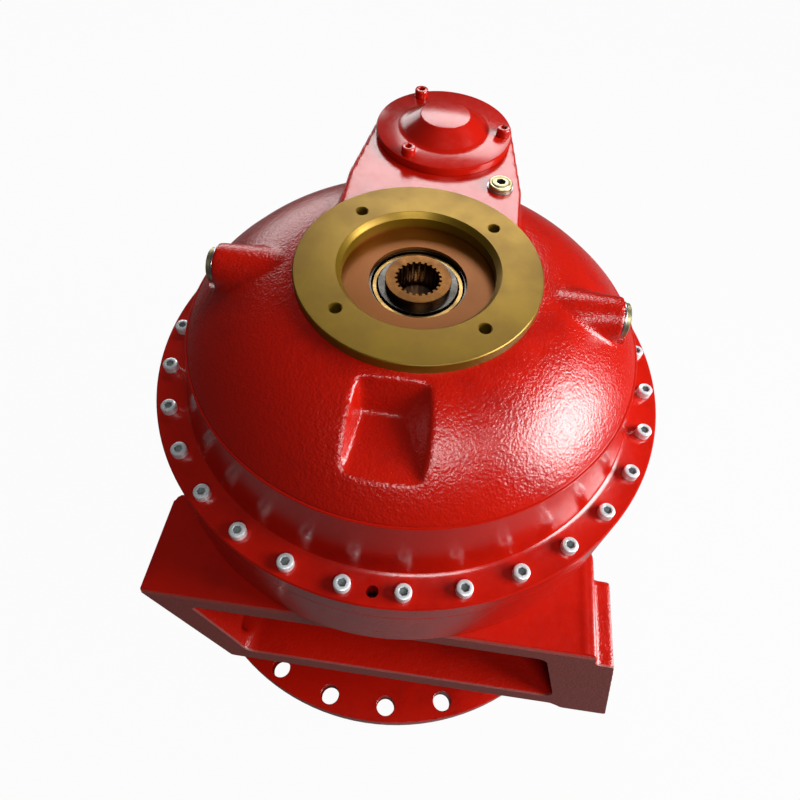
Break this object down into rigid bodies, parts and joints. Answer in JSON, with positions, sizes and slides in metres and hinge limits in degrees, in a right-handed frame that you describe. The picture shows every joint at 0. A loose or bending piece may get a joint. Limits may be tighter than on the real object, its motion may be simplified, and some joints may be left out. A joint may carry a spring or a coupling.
{
  "type": "mixer drum gearbox",
  "caption": "Planetary gearbox that carries and turns a truck mixer drum: domed cover with motor flange, foot bracket and self-aligning drum flange.",
  "frame": {"origin": "centre of the drum flange's outer face, on which the part stands", "axes": "+Z along the gearbox axis to the motor face, -Y out of the mounting foot, +Y to the auxiliary housing"},
  "size_m": [0.55, 0.5499, 0.498],
  "materials": {
    "paint": "gloss",
    "cast": "rough",
    "steel": "machined",
    "zinc": "bright zinc",
    "yellow_zinc": "yellow zinc",
    "gear": "ground",
    "bearing": "polished",
    "bronze": "satin",
    "rubber": "matte",
    "hub": "oiled"
  },
  "bodies": {
    "casing": {"cover": "paint", "housing": "paint", "cover_screws": "zinc", "auxiliary_cover": "paint", "auxiliary_screws": "paint", "auxiliary_seal": "rubber", "filler_plug": "yellow_zinc", "filler_washer": "yellow_zinc", "side_plug_right": "yellow_zinc", "side_plug_left": "yellow_zinc", "side_washer_right": "yellow_zinc", "side_washer_left": "yellow_zinc", "input_bearing_outer_ring": "bearing", "input_retaining_ring": "steel", "ring_gear_1": "gear", "ring_gear_2": "gear", "ring_gear_3": "gear", "carrier_bearing_outer_ring": "bearing", "drum_bearing_outer_ring": "bearing", "seal_carrier": "paint", "seal_carrier_screws": "zinc", "shaft_seal": "rubber", "seal_retaining_ring": "steel"},
    "output_carrier": {"carrier_3": "cast", "planet_pins_3": "steel", "carrier_bearing_inner_ring": "bearing"},
    "carrier_bearing_set": {"carrier_bearing_balls": "bearing", "carrier_bearing_cage": "steel"},
    "centre_piece": {"centre_ball": "bearing"},
    "drum_end": {"drum_flange": "paint", "drum_bearing_inner_ring": "bearing", "drum_bearing_rollers": "bearing", "drum_bearing_cage": "bronze", "drum_lock_nut": "steel", "hub_end_plate": "steel", "hub_retaining_ring": "steel"},
    "second_carrier": {"carrier_2": "cast", "planet_pins_2": "steel", "sun_gear_3": "gear"},
    "first_carrier": {"carrier_1": "cast", "planet_pins_1": "steel", "sun_gear_2": "gear"},
    "input_shaft": {"input_hub": "hub", "sun_gear_1": "gear", "input_bearing_inner_ring": "bearing"},
    "input_bearing_set": {"input_bearing_balls": "bearing", "input_bearing_cage": "steel"},
    "planet_1a": {"planet_gear_1a": "gear"},
    "planet_1b": {"planet_gear_1b": "gear"},
    "planet_1c": {"planet_gear_1c": "gear"},
    "planet_2a": {"planet_gear_2a": "gear"},
    "planet_2b": {"planet_gear_2b": "gear"},
    "planet_2c": {"planet_gear_2c": "gear"},
    "planet_3a": {"planet_gear_3a": "gear"},
    "planet_3b": {"planet_gear_3b": "gear"},
    "planet_3c": {"planet_gear_3c": "gear"}
  },
  "joints": [
    {"name": "output_spin", "type": "hinge", "parent": "casing", "child": "output_carrier", "pos_m": [0, 0, 0.25], "axis": [0, 0, 1], "continuous": true},
    {"name": "swivel_x", "type": "hinge", "parent": "output_carrier", "child": "centre_piece", "pos_m": [0, 0, 0.15], "axis": [1, 0, 0], "range_deg": [-6, 6]},
    {"name": "swivel_y", "type": "hinge", "parent": "centre_piece", "child": "drum_end", "pos_m": [0, 0, 0.15], "axis": [0, 1, 0], "range_deg": [-6, 6]},
    {"name": "second_carrier_spin", "type": "hinge", "parent": "casing", "child": "second_carrier", "pos_m": [0, 0, 0.34], "axis": [0, 0, 1], "continuous": true},
    {"name": "first_carrier_spin", "type": "hinge", "parent": "casing", "child": "first_carrier", "pos_m": [0, 0, 0.4], "axis": [0, 0, 1], "continuous": true},
    {"name": "input_spin", "type": "hinge", "parent": "casing", "child": "input_shaft", "pos_m": [0, 0, 0.45], "axis": [0, 0, 1], "continuous": true},
    {"name": "input_bearing_spin", "type": "hinge", "parent": "casing", "child": "input_bearing_set", "pos_m": [0, 0, 0.451], "axis": [0, 0, 1], "continuous": true},
    {"name": "carrier_bearing_spin", "type": "hinge", "parent": "casing", "child": "carrier_bearing_set", "pos_m": [0, 0, 0.229], "axis": [0, 0, 1], "continuous": true},
    {"name": "planet_1a_spin", "type": "hinge", "parent": "first_carrier", "child": "planet_1a", "pos_m": [0, 0.075, 0.3], "axis": [0, 0, 1], "continuous": true},
    {"name": "planet_1b_spin", "type": "hinge", "parent": "first_carrier", "child": "planet_1b", "pos_m": [-0.06495, -0.0375, 0.3], "axis": [0, 0, 1], "continuous": true},
    {"name": "planet_1c_spin", "type": "hinge", "parent": "first_carrier", "child": "planet_1c", "pos_m": [0.06495, -0.0375, 0.3], "axis": [0, 0, 1], "continuous": true},
    {"name": "planet_2a_spin", "type": "hinge", "parent": "second_carrier", "child": "planet_2a", "pos_m": [0, 0.0975, 0.3], "axis": [0, 0, 1], "continuous": true},
    {"name": "planet_2b_spin", "type": "hinge", "parent": "second_carrier", "child": "planet_2b", "pos_m": [-0.08444, -0.04875, 0.3], "axis": [0, 0, 1], "continuous": true},
    {"name": "planet_2c_spin", "type": "hinge", "parent": "second_carrier", "child": "planet_2c", "pos_m": [0.08444, -0.04875, 0.3], "axis": [0, 0, 1], "continuous": true},
    {"name": "planet_3a_spin", "type": "hinge", "parent": "output_carrier", "child": "planet_3a", "pos_m": [0, 0.12, 0.3], "axis": [0, 0, 1], "continuous": true},
    {"name": "planet_3b_spin", "type": "hinge", "parent": "output_carrier", "child": "planet_3b", "pos_m": [-0.10392, -0.06, 0.3], "axis": [0, 0, 1], "continuous": true},
    {"name": "planet_3c_spin", "type": "hinge", "parent": "output_carrier", "child": "planet_3c", "pos_m": [0.10392, -0.06, 0.3], "axis": [0, 0, 1], "continuous": true}
  ],
  "couplings": [
    {"joint": "second_carrier_spin", "follows": "output_spin", "ratio": 5},
    {"joint": "first_carrier_spin", "follows": "output_spin", "ratio": 25},
    {"joint": "input_spin", "follows": "output_spin", "ratio": 125},
    {"joint": "input_bearing_spin", "follows": "output_spin", "ratio": 53.017},
    {"joint": "carrier_bearing_spin", "follows": "output_spin", "ratio": 0.425},
    {"joint": "planet_1a_spin", "follows": "output_spin", "ratio": -66.667},
    {"joint": "planet_1b_spin", "follows": "output_spin", "ratio": -66.667},
    {"joint": "planet_1c_spin", "follows": "output_spin", "ratio": -66.667},
    {"joint": "planet_2a_spin", "follows": "output_spin", "ratio": -13.333},
    {"joint": "planet_2b_spin", "follows": "output_spin", "ratio": -13.333},
    {"joint": "planet_2c_spin", "follows": "output_spin", "ratio": -13.333},
    {"joint": "planet_3a_spin", "follows": "output_spin", "ratio": -2.6667},
    {"joint": "planet_3b_spin", "follows": "output_spin", "ratio": -2.6667},
    {"joint": "planet_3c_spin", "follows": "output_spin", "ratio": -2.6667}
  ]
}
